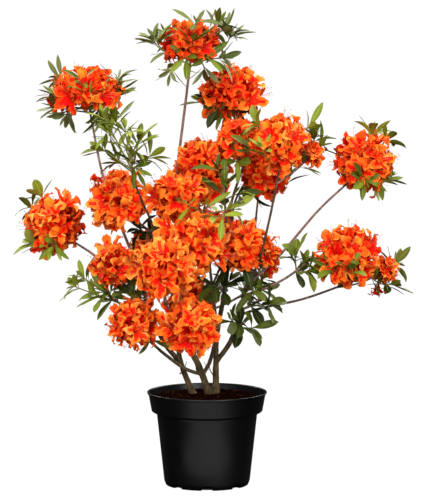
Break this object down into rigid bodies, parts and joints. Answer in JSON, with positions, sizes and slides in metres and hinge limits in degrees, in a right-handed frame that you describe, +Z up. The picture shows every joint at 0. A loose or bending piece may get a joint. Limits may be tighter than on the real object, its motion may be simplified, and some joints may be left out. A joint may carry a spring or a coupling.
{
  "type": "potted azalea shrub",
  "caption": "Deciduous azalea shrub in full orange blossom, with open spreading boughs and leafy shoots, growing in a round black nursery pot filled with compost.",
  "frame": {"origin": "centre of the pot's flat underside, on the surface it stands on", "axes": "+Z up along the pot's axis; -Y towards the plant's front; +X to the right as seen from the front"},
  "size_m": [0.782, 0.5726, 0.9033],
  "materials": {
    "pot": "black injection-moulded plastic, softly shining, with fine flow lines",
    "compost": "dark red-brown crumbly potting compost",
    "bark": "grey-brown ridged bark, redder and smoother on the young boughs",
    "leaf": "soft matt leaf, paler below",
    "blossom": "vivid orange ruffled petals with red-orange throats"
  },
  "bodies": {
    "root": {"pot": "pot", "compost": "compost", "stem_left": "bark", "stem_middle": "bark", "stem_right": "bark", "stem_outer_left": "bark", "stem_far_right": "bark", "stem_back": "bark", "bough_low_left": "bark", "bough_top": "bark", "bough_upper_left": "bark", "bough_left": "bark", "bough_leafy": "bark", "bough_left_centre": "bark", "bough_centre_high": "bark", "bough_high": "bark", "bough_right": "bark", "bough_upper_right": "bark", "bough_mid_right": "bark", "bough_lower_right": "bark", "bough_back_high": "bark", "bough_back_right": "bark", "top_truss": "blossom", "high_truss": "blossom", "upper_left_truss": "blossom", "leafy_shoot": "leaf", "upper_right_truss": "blossom", "right_side_truss": "blossom", "inner_high_truss": "blossom", "mid_right_truss": "blossom", "centre_high_truss": "blossom", "centre_truss": "blossom", "centre_leaf_shoot": "leaf", "front_leaf_shoot": "leaf", "left_centre_truss": "blossom", "dark_leaf_shoot": "leaf", "left_truss": "blossom", "right_truss": "blossom", "inner_left_truss": "blossom", "front_truss": "blossom", "centre_front_truss": "blossom", "centre_right_truss": "blossom", "hanging_truss": "blossom", "lower_right_truss": "blossom", "right_end_truss": "blossom", "right_leaf_shoot": "leaf", "lower_left_truss": "blossom", "lower_front_truss": "blossom", "left_leaf_shoot": "leaf", "low_leaf_shoot": "leaf", "inner_leaves": "leaf", "right_leaves": "leaf", "low_right_leaves": "leaf", "back_truss": "blossom", "back_high_truss": "blossom", "back_right_truss": "blossom", "back_left_truss": "blossom", "back_low_truss": "blossom", "back_leaf_shoot": "leaf", "back_left_high_truss": "blossom"}
  },
  "joints": []
}
